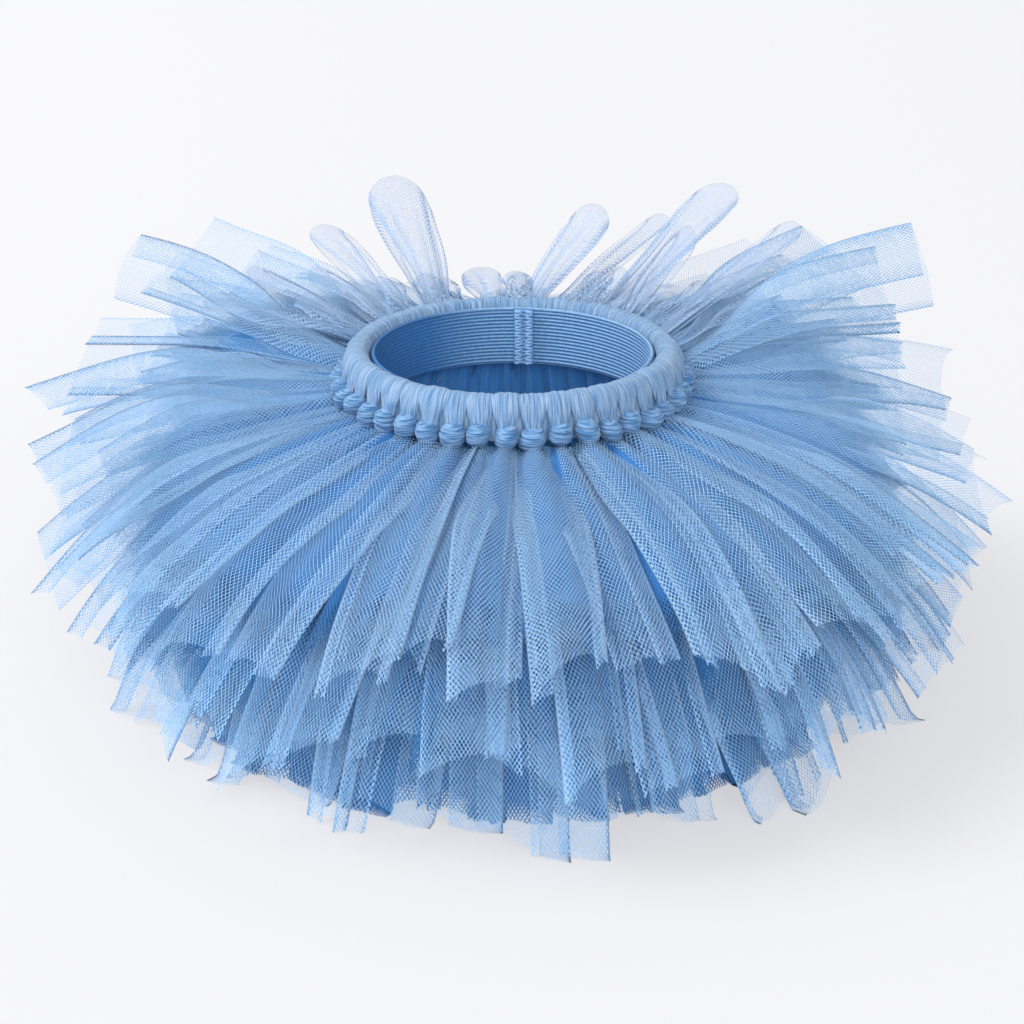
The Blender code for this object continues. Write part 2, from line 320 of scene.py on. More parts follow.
def hangAt(stations, azimuth):
    angle = abs(fromFront(azimuth))
    for low, high in zip(stations, stations[1:]):
        if angle <= high[0]:
            share = smooth((angle - low[0]) / (high[0] - low[0]))
            return [a + (b - a) * share for a, b in zip(low[1:], high[1:])]
    return list(stations[-1][1:])


fold = {
    "edgeColumn": 0.0013,  # from a fold or a cut edge to the next column
    "tuck": 0.0012,  # a flap lies this much under the faces
    "crown": 0.085,  # how far a face rounds up, as a share of its width
    "faceColumns": (0.13, 0.26, 0.39, 0.52, 0.65, 0.77, 0.89),
    "wideFlap": 0.012,
    "wideFlapColumns": (0.3, 0.65),
    "flapColumns": (0.5,),
    "creases": 2,  # soft troughs down each face: place, depth and width
    "crease": ((0.2, 0.8), (-0.0012, 0.0026), (0.10, 0.2)),
    "cutEdge": 0.6,  # how strongly the edges show
    "foldEdge": 1.0,
    "nearEdge": 0.16,
}


def crossSection(chance, faces, backs, flaps, depth):
    # a strip folded lengthwise, from one cut edge to the other: (flat, across, up, edge, corner)
    runs = [("flap", flaps[0])] if flaps[0] else []
    for number, face in enumerate(faces):
        runs.append(("face", face))
        if number < len(faces) - 1:
            runs.append(("back", backs[number]))
    if flaps[1]:
        runs.append(("flap", flaps[1]))
    bottom = -depth - fold["tuck"]
    levels = [bottom if flaps[0] else -0.7 * depth]
    for number, (kind, length) in enumerate(runs):
        following = runs[number + 1][0] if number < len(runs) - 1 else "end"
        ends = {
            "back": 0.0,
            "face": -depth if kind == "back" else -0.5 * depth,
            "flap": -0.5 * depth,
            "end": bottom if kind == "flap" else -0.7 * depth,
        }
        levels.append(ends[following])
    columns = [(0.0, 0.0, levels[0], fold["cutEdge"], 1.0)]
    flat = across = 0.0
    for number, (kind, length) in enumerate(runs):
        step = 1 if kind == "face" else -1
        near = fold["edgeColumn"] / length
        valleys = []
        if kind == "face":
            inner = fold["faceColumns"]
            for _ in range(fold["creases"]):
                valleys.append([chance.uniform(*span) for span in fold["crease"]])
        else:
            inner = fold["wideFlapColumns"] if length > fold["wideFlap"] else fold["flapColumns"]
        for share in (near, *inner, 1 - near):
            up = levels[number] + (levels[number + 1] - levels[number]) * share
            corner = 0.9
            if kind == "face":
                up += fold["crown"] * length * (math.sin(math.pi * share) ** 0.8)
                up -= sum(deep * math.exp(-((share - at) / wide) ** 2) for at, deep, wide in valleys)
                corner = (abs(share - 0.5) * 2) ** 2.5
            edge = fold["nearEdge"] if share in (near, 1 - near) else 0.0
            columns.append((flat + share * length, across + step * share * length, up, edge, corner))
        flat += length
        across += step * length
        last = number == len(runs) - 1
        turn = 0 if last else 0.0002 * step  # so that the two sides of a fold don't touch
        edge = fold["cutEdge" if last else "foldEdge"]
        columns.append((flat, across + turn, levels[number + 1], edge, 1.0))
    middle = (min(c[1] for c in columns) + max(c[1] for c in columns)) / 2
    return [(c[0], c[1] - middle, *c[2:]) for c in columns]


def otherWayRound(columns):
    return [(columns[-1][0] - c[0], -c[1], *c[2:]) for c in reversed(columns)]


drape = {
    "rootArch": 0.0022,  # how far the edges fall at the knot, on top of the strip's own arch
    "ripples": ((0.0005, 170, 900), (0.0004, 300, 90)),  # how unevenly the net itself is stretched
    "tone": 0.10,
}


def layStrip(bm, strip, layers):
    # one strip from the knot to its cut end
    columns, rows = strip["columns"], strip["rows"]
    width = columns[-1][0]
    halfWidth = max(c[1] for c in columns)
    netTurn, shift = math.radians(strip["netTurn"]), strip["netShift"]
    tall, waves, start, slant = strip["wave"]
    (wide, perLength, perShift), (narrow, perFlat, perAlong) = drape["ripples"]
    places = []
    for vert, column, row in gridIn(bm, len(columns), rows):
        flat, across, up, edge, corner = columns[column]
        v = row / (rows - 1)
        cornered = 1 + strip["skew"] * (across / halfWidth) * v ** 2
        cornered += strip["corners"] * (corner - 0.4) * v ** 3
        s = strip["length"] * v * cornered
        out, rise, here = archPoint(strip["length"], strip["slope"], strip["bend"], s)
        # gathered in at the knot, and again a little towards the end
        spread = strip["pinch"] + (1 - strip["pinch"]) * smooth(v, -0.10, strip["fullAt"])
        spread *= 1 - strip["taper"] * smooth(v, 0.55, 1.0)
        h = up * (0.5 + 0.5 * smooth(v, 0, 0.4))
        leaf = strip["arch"] * (0.35 + math.sin(math.pi * min(1.0, 0.2 + v * 1.6)))
        leaf += drape["rootArch"] * (1 - v) ** 4
        h -= leaf * abs(across / halfWidth) ** 2.2
        h += tall * math.sin(math.tau * (v * waves + start) + across * slant) * smooth(v, 0.15, 0.8)
        h += strip["curl"] * smooth(v, 0.72, 1.05) ** 2
        x, h = turned(across * spread, h, math.radians(strip["roll"]) * smooth(v, 0, 0.7))
        h += strip["lift"] * (0.35 + 0.65 * smooth(v, 0.0, 0.5))
        x += strip["drift"] * v * v + strip["bow"] * math.sin(math.pi * v)
        azimuth = strip["azimuth"] + strip["sway"] * v
        radius = strip["radius"] + out - h * math.sin(here)
        place = roundWaist(azimuth, radius, strip["height"] + rise + h * math.cos(here))
        place += directionsAt(azimuth)[1] * x
        place.z = max(place.z, tutu["floorGap"])
        vert.co = place
        tone = drape["tone"] * (1 + math.sin(flat * 900 + shift * 3000))
        vert[layers["edge"]] = edge * strip["edgeShare"]
        vert[layers["closed"]] = strip["closed"](v, spread)
        # painted shade: linings and, at the sides, the outer ends are drawn darker; the tone varies across
        # each strip
        vert[layers["shaded"]] = strip["shaded"] + tone + strip["sideShade"] * smooth(v, 0.4, 0.85)
        ripple = wide * math.sin(s * perLength + shift * perShift)
        ripple += narrow * math.sin(flat * perFlat + s * perAlong)
        cut = turned((flat - width / 2) * spread ** 0.6 + ripple + shift, s + shift * 1.7, netTurn)
        places.append((vert, (strip["fine"] * cut[0], strip["fine"] * cut[1])))
    layFlat(bm, places)
    return width * strip["length"]


def stripLayers(bm):
    return {name: bm.verts.layers.float.new(name) for name in ("edge", "closed", "shaded")}


# how far the net's holes are closed at v, from 0 at the knot to 1 at the cut end
def veilClosed(v, spread):
    return min(0.3, 0.03 * (1 / spread - 1)) * (1 - smooth(v, 0.1, 0.5))


def underClosed(v, spread):
    return 1.0 - smooth(v, 0.74, 1.0)


def hemClosed(v, spread):
    return 1.0 - 0.8 * smooth(v, 0.90, 1.0)


rows = {
    "top": {
        "node": "strips_top", "veil": "veil", "radius": 0.0790, "height": 0.1395, "length": 0.1555,
        # how the strips hang, by angle from the front: slope, bend, share of the length
        "hang": [(0, -17, 16, 1.0), (60, -21, 15, 0.99), (90, -15, 12, 0.94), (104, -3, 7, 0.94),
                 (118, 11, 3, 0.92), (135, 7, 3, 0.92), (158, -5, 7, 0.90), (180, -8, 9, 0.90)],
        # wide single strips that stand on edge, by knot
        "standing": {
            13: {"width": 0.040, "roll": 60, "slope": 15, "length": 0.134, "flap": 0.62},
            29: {"width": 0.034, "roll": -54, "slope": 12, "length": 0.136, "flap": 0.35},
        },
        "seed": 11, "turn": 0.0, "uneven": (-0.018, 0.006), "width": (0.028, 0.037),
        "underShare": 0.80, "underAway": 0.22,
    },
    "middle": {
        "node": "strips_middle", "veil": "litLowVeil", "radius": 0.0780, "height": 0.1368, "length": 0.1620,
        "hang": [(0, -35, 16, 1.0), (30, -37, 16, 1.0), (60, -37, 15, 1.04), (90, -27, 13, 1.0),
                 (106, -14, 8, 0.95), (120, -2, 4, 0.93), (136, -6, 5, 0.92), (158, -19, 10, 0.92),
                 (180, -23, 12, 0.92)],
        "standing": {},
        "seed": 12, "turn": 0.5, "uneven": (-0.018, 0.006), "width": (0.030, 0.039),
        "underShare": 0.88, "underAway": 0.12,
    },
    "lower": {
        "node": "strips_lower", "veil": "litLowVeil", "radius": 0.0770, "height": 0.1330, "length": 0.1700,
        "hang": None,  # its ends come down to the floor
        "standing": {},
        "seed": 13, "turn": 0.25, "uneven": (-0.012, 0.009), "width": (0.030, 0.040),
        "underShare": 0.945, "underAway": 0.08,
    },
}
stripRules = {
    "reach": 0.220,  # no strip ends further from the middle of the waist
    "floorBend": 12,
    "foldDepth": (0.0020, 0.0038),
    "flap": (0.004, 0.009),
    "wave": (0.0004, 0.0018),
    "rows": 32,
    "liningRows": 26,
    "liningDrop": 0.0013,
    "underRows": 18,
    "underDrop": -0.0055,
    "level": (0.0022, -0.0012),  # every other strip lies over its neighbours
}


def rollAt(azimuth, chance, aside):
    # at the sides the strips stand more on edge, and show their faces to the front
    side = math.copysign(1, fromFront(azimuth))
    if aside and chance.random() < 0.75:
        return side * aside * chance.uniform(22, 58)
    return side * aside * 8 + chance.uniform(-13, 13)


def foldFor(width, chance, aside):
    # how the strip is folded lengthwise, and whether a second thickness lies under it
    depth = chance.uniform(*stripRules["foldDepth"])
    kind = chance.random()
    if kind < 0.5 + 0.35 * aside:
        flap = width * chance.uniform(0.25, 0.8) * (1 - 0.45 * aside)
        columns = crossSection(chance, [width], [], [0.0, flap], depth)
        lined = chance.random() < 0.3 + 0.4 * aside
    elif kind < 0.75 + 0.1 * aside:
        flaps = [chance.uniform(*stripRules["flap"]) for _ in range(2)]
        columns, lined = crossSection(chance, [width], [], flaps, depth), True
    else:
        back = chance.uniform(0.004, 0.007)
        share = chance.uniform(0.32, 0.68)
        faces = [(width + back) * share, (width + back) * (1 - share)]
        flaps = [0.0, chance.uniform(*stripRules["flap"])]
        columns, lined = crossSection(chance, faces, [back], flaps, depth), True
    if chance.random() < 0.5:
        columns = otherWayRound(columns)
    return columns, lined


def stripFor(row, azimuth, chance, length, lift):
    angle = abs(fromFront(azimuth))
    aside = smooth(angle, 35, 80)
    width = chance.uniform(*row["width"]) * (1 + 0.22 * aside + 0.15 * smooth(angle, 125, 150))
    columns, lined = foldFor(width, chance, aside)
    if row["hang"]:
        slope, bend, share = hangAt(row["hang"], azimuth)
        length *= share
        length *= min(1.0, (stripRules["reach"] - row["radius"]) / archPoint(length, slope, bend, length)[0])
        slope += chance.uniform(-2, 2)
    else:
        bend = stripRules["floorBend"]
        turn = math.radians(bend)
        straight = length * math.sin(turn) / turn
        slope = -math.degrees(math.asin(min(0.98, (row["height"] - 0.001) / straight)))
    return {
        "columns": columns,
        "lined": lined or angle > 140,
        "rows": stripRules["rows"],
        "azimuth": azimuth,
        "length": length,
        "slope": slope,
        "bend": bend + chance.uniform(-2, 3),
        "radius": row["radius"],
        "height": row["height"],
        "pinch": 0.36 - 0.12 * aside,
        "fullAt": chance.uniform(0.30, 0.50) + 0.20 * aside,
        "taper": chance.uniform(-0.08, 0.20),
        "edgeShare": chance.uniform(0.45, 1.0),
        "arch": chance.uniform(0.0028, 0.0060),
        "roll": rollAt(azimuth, chance, aside * (1 - smooth(angle, 130, 165))),
        "lift": lift,
        "drift": chance.uniform(-0.005, 0.005),
        "bow": chance.uniform(-0.002, 0.002),
        "sway": chance.uniform(-1.3, 1.3),
        "skew": chance.uniform(-0.09, 0.09),
        "corners": chance.uniform(0.01, 0.05),
        "wave": (chance.uniform(*stripRules["wave"]), chance.uniform(0.8, 1.8), chance.random(),
                 chance.uniform(-120, 120)),
        "curl": chance.uniform(-0.004, 0.004),
        "netShift": chance.uniform(0, 0.01),
        "netTurn": chance.uniform(-5, 5),
        "closed": veilClosed,
        "shaded": 0.0,
        "sideShade": 0.38 * aside,  # painted shade: the outer ends look darker at the sides
        "fine": 1 + 0.25 * aside,  # and so does the net look finer
    }


def liningFor(strip, chance, away):
    # the strip's second thickness of net, narrower than the first and just under it
    columns = strip["columns"]
    narrow = chance.uniform(0.55, 0.95)
    aside = chance.uniform(-0.4, 0.4) * (1 - narrow) * max(c[1] for c in columns)
    lining = dict(strip, columns=[(c[0] * narrow, c[1] * narrow + aside, *c[2:]) for c in columns])
    lining["length"] *= chance.uniform(0.86, 1.0) * (1 - 0.22 * away)
    lining["lift"] -= stripRules["liningDrop"]
    lining["netShift"] = chance.uniform(0, 0.01)
    lining["netTurn"] += chance.choice((-1, 1)) * chance.uniform(3, 7.5)
    lining["roll"] += chance.uniform(-4, 4)
    lining["drift"] += chance.uniform(-0.003, 0.003)
    lining["skew"] = chance.uniform(-0.06, 0.06)
    lining["rows"] = stripRules["liningRows"]
    lining["shaded"] = 0.60 - 0.48 * away
    return lining


def standingStrip(strip, look, chance):
    columns = crossSection(chance, [look["width"]], [], [look["width"] * look["flap"], 0.0], 0.003)
    if look["roll"] > 0:
        columns = otherWayRound(columns)
    return dict(strip, columns=columns, roll=look["roll"], slope=look["slope"], length=look["length"],
                lift=0.006, taper=-0.05, fullAt=0.8, skew=0.0, corners=0.0)


def underStrip(row, knot, away, chance):
    length = row["length"] * (row["underShare"] - row["underAway"] * away)
    under = stripFor(row, knot + chance.uniform(-2, 2), chance, length, stripRules["underDrop"])
    under.update(rows=stripRules["underRows"], closed=underClosed if row["hang"] else hemClosed,
                 fullAt=0.6, pinch=0.32, taper=0, edgeShare=0.3, roll=under["roll"] * 0.4)
    return under


def makeRow(name, row):
    chance = random.Random(row["seed"])
    outer, under = bmesh.new(), bmesh.new()
    outerLayers, underLayers = stripLayers(outer), stripLayers(under)
    outerArea = underArea = 0.0
    for index in range(tutu["knots"]):
        knot = knotAzimuth(index + row["turn"])
        away = smooth(abs(fromFront(knot)), 45, 105)  # from the front round to the sides and back
        azimuth = knot + chance.uniform(-0.8, 0.8)
        length = row["length"] + chance.uniform(*row["uneven"])
        lift = stripRules["level"][0 if index % 2 else 1] + chance.uniform(-0.001, 0.0012)
        strip = stripFor(row, azimuth, chance, length, lift)
        if index in row["standing"]:
            outerArea += layStrip(outer, standingStrip(strip, row["standing"][index], chance), outerLayers)
            strip["length"] *= 0.85
        outerArea += layStrip(outer, strip, outerLayers)
        if strip["lined"]:
            outerArea += layStrip(outer, liningFor(strip, chance, away), outerLayers)
        underArea += layStrip(under, underStrip(row, knot, away, chance), underLayers)
    outerPiece = addPiece(name + "Strips", outer, tulleMaterials[row["veil"]], [row["node"]])
    underPiece = addPiece(name + "UnderStrips", under, tulleMaterials["under"])


for name, row in rows.items():
    makeRow(name, row)


# the innermost strips, pressed together as one gathered wall
innerWall = {
    # radius and height down the wall, and how deep its waves are
    "sections": [(0.0669, 0.145, 0.0006), (0.0705, 0.129, 0.0022), (0.080, 0.098, 0.0034),
                 (0.094, 0.058, 0.0040), (0.106, 0.016, 0.0050), (0.106, 0.0005, 0.0050)],
    "gathers": 42,
    "perGather": 8,
    "rows": 30,
    "flatStep": 0.0042,  # cloth from one column to the next
    "flatLength": 0.15,
    "shownStep": 0.0026,
    "shownLength": 0.153,
    "unevenHem": 0.009,
    "seed": 14,
}


def makeInnerWall(look):
    chance = random.Random(look["seed"])
    bm = bmesh.new()
    layers = stripLayers(bm)
    gathers, per, sections = look["gathers"], look["perGather"], look["sections"]
    columns = gathers * per + 1
    depth = [chance.uniform(0.6, 1.25) for _ in range(gathers)]
    lean = [chance.uniform(-0.2, 0.2) for _ in range(gathers)]
    end = [chance.uniform(0.0, look["unevenHem"]) for _ in range(gathers)]
    places = []
    for vert, column, row in gridIn(bm, columns, look["rows"]):
        v = row / (look["rows"] - 1)
        gather = (column // per) % gathers
        within = (column % per) / per
        radius, height, wave = between(sections, v * (len(sections) - 1))
        size = depth[gather] + (depth[(gather + 1) % gathers] - depth[gather]) * smooth(within)
        phase = math.tau * (within + lean[gather] * math.sin(math.tau * within) * 0.5)
        radius += wave * size * math.cos(phase) * 0.9 + wave * 0.22 * math.cos(3 * phase + gather)
        height = max(height, end[gather] * (1 if v > 0.97 else 0), tutu["floorGap"])
        vert.co = roundWaist(tutu["firstKnot"] + 360 * column / (columns - 1), radius, height)
        vert[layers["closed"]] = 1.0 - 0.95 * smooth(v, 0.93, 1.0)
        places.append((vert, (column * look["flatStep"], v * look["flatLength"])))
    layFlat(bm, places)
    bmesh.ops.remove_doubles(bm, verts=bm.verts, dist=0.00002)
    bmesh.ops.recalc_face_normals(bm, faces=bm.faces)
    piece = addPiece("innerStrips", bm, tulleMaterials["inner"], ["strips_inner"])


makeInnerWall(innerWall)


# tulle drawn so tight that only its threads show, as fine lines
def cordedTulle(name, look):
    material, tree, shader = newMaterial(name)
    cut = cutMap(tree)
    fine = stretchedNoise(tree, cut, look["lines"], 1.0)
    broad = stretchedNoise(tree, cut, look["broad"])
    lines = mapRange(tree, fine, (0.36, 0.62), (0.0, 1.0))
    net = netIn(tree, cut, look["hole"], 0.42)
    netShade = calc(tree, "MULTIPLY_ADD", net.outputs["Threads"], 0.55, 0.45)
    colour = mixColour(tree, calc(tree, "MULTIPLY", lines, netShade), look["deep"], look["light"])
    broadShade = calc(tree, "MULTIPLY_ADD", broad, 0.30, 0.85)
    wire(tree, mixColour(tree, 1.0, colour, broadShade, "MULTIPLY"), shader.inputs["Base Color"])
    wire(tree, calc(tree, "MULTIPLY_ADD", fine, -0.2, 0.92), shader.inputs["Roughness"])
    setOn(shader, {"Specular IOR Level": 0.2})
    clothSheen(shader, 0.3)
    bump(tree, calc(tree, "MULTIPLY_ADD", broad, 1.5, fine), look["depth"], 0.9, shader)
    return material


wraps = {
    # radius and height down the wrap, its share of the pitch, and how far it bulges
    "path": [(0.0664, 0.1440, 0.96, 0.0), (0.0664, 0.1520, 1.0, 0.0002), (0.0668, 0.1560, 1.03, 0.0005),
             (0.0684, 0.1588, 1.04, 0.0008), (0.0714, 0.1599, 1.04, 0.0010), (0.0744, 0.1590, 1.03, 0.0011),
             (0.0764, 0.1567, 1.02, 0.0012), (0.0775, 0.1537, 0.99, 0.0012), (0.0781, 0.1510, 0.90, 0.0012),
             (0.0784, 0.1488, 0.76, 0.0010), (0.0790, 0.1468, 0.66, 0.0008), (0.0796, 0.1440, 0.6, 0.0)],
    "columns": 15,
    "highest": 0.1615,
    "seam": 0.75,  # how far the seam between two wraps wanders, in degrees
    "flatHalf": 0.0070,  # half the width of a wrap, and what is drawn in beside it at the top
    "flatStep": 0.0016,
    "shownWidth": 0.023,
    "shownLength": 0.033,
    "tulle": {
        "lines": (1150, 80, 1), "broad": (420, 50, 1), "hole": (0.0011, 0.0017), "depth": 0.0006,
        "deep": (0.100, 0.235, 0.440, 1), "light": (0.335, 0.455, 0.610, 1),
    },
    "seed": 21,
}


def layWrap(bm, index, chance, seams):
    path, columns = wraps["path"], wraps["columns"]
    rowsDown = 2 * len(path) - 1
    swell = chance.uniform(0.75, 1.35)
    tall = chance.uniform(-0.0005, 0.0006)
    phase = chance.uniform(0, math.tau)
    ridges = chance.uniform(8, 12)
    places = []
    for vert, column, row in gridIn(bm, columns, rowsDown):
        u = column / (columns - 1) * 2 - 1
        v = row / (rowsDown - 1)
        low = min(row // 2, len(path) - 2)
        radius, height, fill, bulge = between(path, row / 2)
        before, after = path[max(0, low - (1 if row % 2 == 0 else 0))], path[low + 1]
        normal = Vector((before[1] - after[1], after[0] - before[0]))
        normal.normalize()
        nearKnot = smooth(v, 0.50, 0.85)
        # a wrap is flat over the crown, and rounds more towards its knot
        rounding = bulge * swell * (0.35 + 0.65 * nearKnot) * (1 - abs(u) ** 3.2)
        rounding -= (0.00022 + 0.0006 * nearKnot) * abs(u) ** 5
        rounding += (0.00016 + 0.0002 * v) * math.cos(u * ridges + phase) * (1 - u * u)
        rounding += tall * math.sin(math.pi * v) * (1 - abs(u) ** 3)
        radius += normal.x * rounding
        height += normal.y * rounding
        crown = math.sin(math.pi * min(1.0, v * 1.15)) ** 2
        seam = (seams[index] * (1 - u) + seams[(index + 1) % len(seams)] * (1 + u)) / 2
        azimuth = knotAzimuth(index) + u * fill * tutu["pitch"] / 2 + seam * crown
        vert.co = roundWaist(azimuth, radius, min(height, wraps["highest"]))
        flat = u * wraps["flatHalf"] * (1.9 - 0.9 * v) + index * 0.031
        places.append((vert, (flat, row * wraps["flatStep"])))
    layFlat(bm, places)


roll = {
    # the gathered tulle inside the wraps, seen between them above the knots: radius, height
    "section": [(0.0670, 0.1450), (0.0672, 0.1540), (0.0690, 0.1574), (0.0714, 0.1583), (0.0740, 0.1570),
                (0.0757, 0.1540), (0.0764, 0.1500), (0.0768, 0.1450), (0.0770, 0.1400)],
    "perKnot": 6,
    "uneven": 0.0003,
}


def layRoll(bm):
    columns = tutu["knots"] * roll["perKnot"] + 1
    places = []
    for vert, column, row in gridIn(bm, columns, len(roll["section"])):
        radius, height = roll["section"][row]
        if row > 3:
            radius += roll["uneven"] * math.cos(column * 2.1)
        vert.co = roundWaist(360 * column / (columns - 1), radius, height)
        places.append((vert, (column * 0.002, row * 0.003)))
    layFlat(bm, places)


knots = {
    "radius": 0.0790,
    "height": 0.1428,
    "uneven": (-0.0011, 0.0009),
    "half": (0.0069, 0.0057, 0.0054),  # deep, wide, tall
    "turns": 8.0,
    "winding": 0.00032,
    "around": 26,
    "down": 24,
    "tulle": {
        "lines": (110, 1050, 1), "broad": (60, 480, 1), "hole": (0.0017, 0.0010), "depth": 0.0008,
        "deep": (0.060, 0.185, 0.395, 1), "light": (0.250, 0.410, 0.62, 1),
    },
}


def layKnot(bm, index, chance):
    azimuth = knotAzimuth(index) + chance.uniform(-0.35, 0.35)
    outwards, sideways = directionsAt(azimuth)
    middle = roundWaist(azimuth, knots["radius"], knots["height"] + chance.uniform(*knots["uneven"]))
    deep, wide, tall = (half * chance.uniform(0.84, 1.05) for half in knots["half"])
    slant, start, lean = chance.uniform(-0.6, 0.6), chance.uniform(0, math.tau), chance.uniform(-0.28, 0.28)
    lump, lumpAt = chance.uniform(0.03, 0.13), chance.uniform(0, math.tau)
    made = bmesh.ops.create_uvsphere(bm, u_segments=knots["around"], v_segments=knots["down"], radius=1)
    places = []
    for vert in made["verts"]:
        x, y, z = vert.co
        side = math.atan2(x, -y)
        plump = max(0.0, 1 - z * z) ** 0.5
        level = math.copysign(abs(z) ** 0.88, z)
        turns = level * knots["turns"] * math.pi + slant * 5 * math.sin(side) + start
        winding = knots["winding"] * (math.cos(turns) + 0.6 * math.cos(turns * 0.46 + 1.3 * side)) * plump
        fat = plump ** 0.66 * (1 + lump * math.cos(side - lumpAt) - 0.10 * smooth(level, 0.1, 1.0))
        out = (fat * deep + winding) * math.cos(side)
        across = (fat * wide + winding) * math.sin(side)
        up = level * tall + slant * 0.22 * across
        vert.co = middle + outwards * out + sideways * (across + lean * up) + Vector((0, 0, up))
        flatUp = level * 0.0070 + slant * 0.0022 * math.sin(side)
        places.append((vert, (side * 0.006 + index * 0.03, flatUp)))
    layFlat(bm, places)


def makeBand():
    chance = random.Random(wraps["seed"])
    wrapMesh, knotMesh = bmesh.new(), bmesh.new()
    seams = [chance.uniform(-wraps["seam"], wraps["seam"]) for _ in range(tutu["knots"])]
    for index in range(tutu["knots"]):
        layWrap(wrapMesh, index, chance, seams)
        layKnot(knotMesh, index, chance)
    layRoll(wrapMesh)
    bmesh.ops.recalc_face_normals(knotMesh, faces=knotMesh.faces)
    hitches = [f"hitch_{index + 1:02d}" for index in range(tutu["knots"])]
    knotTulle = cordedTulle("tulle_knot", knots["tulle"])
    knotPiece = addPiece("knots", knotMesh, knotTulle, hitches)
    wrapPiece = addPiece("wraps", wrapMesh, cordedTulle("tulle_wrap", wraps["tulle"]))


makeBand()


elastic = {
    "top": 0.157,
    "bottom": 0.128,
    "inside": 0.0640,
    "outside": 0.0656,
    "ribs": 15,
    "ribDepth": 0.00055,
    "perRib": 6,
    "piping": 0.0012,
    "pipingPoints": 9,
    "hem": 0.0009,
    "backing": 0.0004,  # the ribs stand on this much of the thickness
    "steps": 168,
    "smoothShaded": ((186, 224), (300, 335)),  # between these, on the left, the elastic lies smooth and its colour goes to the deep colour as painted shade
    "shown": (0.407, 0.029),
    "deep": (0.012, 0.118, 0.350, 1),
    "light": (0.265, 0.465, 0.70, 1),
}


def elasticKnit(look):
    material, tree, shader = newMaterial("elastic_knit")
    cut = cutMap(tree)
    parts = splitPlace(tree, cut)
    stitches = calc(tree, "SINE", calc(tree, "MULTIPLY", parts["X"], math.tau / 0.00085))
    grain = stretchedNoise(tree, cut, (500, 500, 1), 2.0)
    colour = mixColour(tree, attribute(tree, "rib"), look["deep"], look["light"])
    shade = calc(tree, "MULTIPLY_ADD", grain, 0.5, 0.75)
    wire(tree, mixColour(tree, 1.0, colour, shade, "MULTIPLY"), shader.inputs["Base Color"])
    wire(tree, calc(tree, "MULTIPLY_ADD", grain, 0.2, 0.65), shader.inputs["Roughness"])
    setOn(shader, {"Specular IOR Level": 0.3})
    bump(tree, calc(tree, "MULTIPLY_ADD", stitches, 0.4, grain), 0.00025, 0.7, shader)
    return material


elasticMaterial = elasticKnit(elastic)


def elasticProfile(look):
    # radius, height and rib shade, up the ribs, over the piped edge and down the outside
    top, bottom, backing = look["top"], look["bottom"], look["inside"] + look["backing"]
    ribTop, ribBottom = top - look["piping"] * 1.25, bottom + look["hem"]
    points = look["ribs"] * look["perRib"]
    profile = []
    for index in range(points + 1):
        share = index / points
        rib = 0.5 - 0.5 * math.cos(math.tau * share * look["ribs"])
        height = ribBottom + (ribTop - ribBottom) * share
        profile.append((backing - look["ribDepth"] * rib ** 0.6, height, rib))
    bead = look["piping"] * 0.62
    for index in range(look["pipingPoints"]):
        angle = math.radians(-70 + 230 * index / (look["pipingPoints"] - 1))
        profile.append((backing - bead * math.cos(angle), top - bead + bead * math.sin(angle), 0.8))
    outside = look["outside"]
    profile += [(outside, top - 0.0012, 0.3), (outside, bottom + 0.0003, 0.3),
                (outside - 0.0006, bottom, 0.6), (look["inside"] + 0.0003, bottom + 0.0002, 0.8)]
    return profile, ribBottom, ribTop


def aroundMiddle(place):
    return math.atan2(place.x, -place.y)


def makeElastic(look):
    bm = bmesh.new()
    ribLayer = bm.verts.layers.float.new("rib")
    profile, ribBottom, ribTop = elasticProfile(look)
    middle = Vector((*tutu["middle"], 0))
    verts = []
    for radius, height, rib in profile:
        vert = bm.verts.new(middle + Vector((0, -radius, height)))
        vert[ribLayer] = rib
        verts.append(vert)
    edges = [bm.edges.new(pair) for pair in zip(verts, verts[1:] + verts[:1])]
    bmesh.ops.spin(bm, geom=verts + edges, cent=middle, axis=(0, 0, 1), angle=math.tau,
                   steps=look["steps"], use_merge=True, use_duplicate=False)
    bmesh.ops.remove_doubles(bm, verts=bm.verts, dist=0.00001)
    bmesh.ops.recalc_face_normals(bm, faces=bm.faces)
    (smoothShadedFrom, smoothShadedBy), (ribsFrom, ribsBy) = look["smoothShaded"]
    for vert in bm.verts:
        place = vert.co - middle
        azimuth = math.degrees(aroundMiddle(place)) % 360
        smoothShaded = smooth(azimuth, smoothShadedFrom, smoothShadedBy) * (1 - smooth(azimuth, ribsFrom, ribsBy))
        # painted shade: on the left the colour goes to the elastic's deep colour
        vert[ribLayer] += (0.02 - vert[ribLayer]) * 0.85 * smoothShaded
        reach = math.hypot(place.x, place.y)
        if reach < look["inside"] + 0.0005 and ribBottom < place.z < ribTop:
            flattened = (look["inside"] + 0.0002 - reach) * 0.8 * smoothShaded
            vert.co += Vector((place.x, place.y, 0)) / reach * flattened
    uv = bm.loops.layers.uv.new("cut")
    for face in bm.faces:
        about = aroundMiddle(face.calc_center_median() - middle)
        for loop in face.loops:
            place = loop.vert.co - middle
            turn = aroundMiddle(place)
            turn += math.tau * round((about - turn) / math.tau)
            loop[uv].uv = (turn * look["inside"], place.z)
    return addPiece("elasticBand", bm, elasticMaterial, ["elastic_band"])


# the sewn-down end, with two columns of chunky zigzag stitches
lap = {
    "azimuth": 175.0,
    "width": 0.0092,
    "radius": 0.0633,
    "thickness": 0.0007,
    "columns": 9,
    "rows": 60,
    "stitches": 18,
    "stitchFromMiddle": 0.0026,
    "stitchRadius": (0.0616, 0.0621),  # left, right
    "stitchSeed": 31,
}


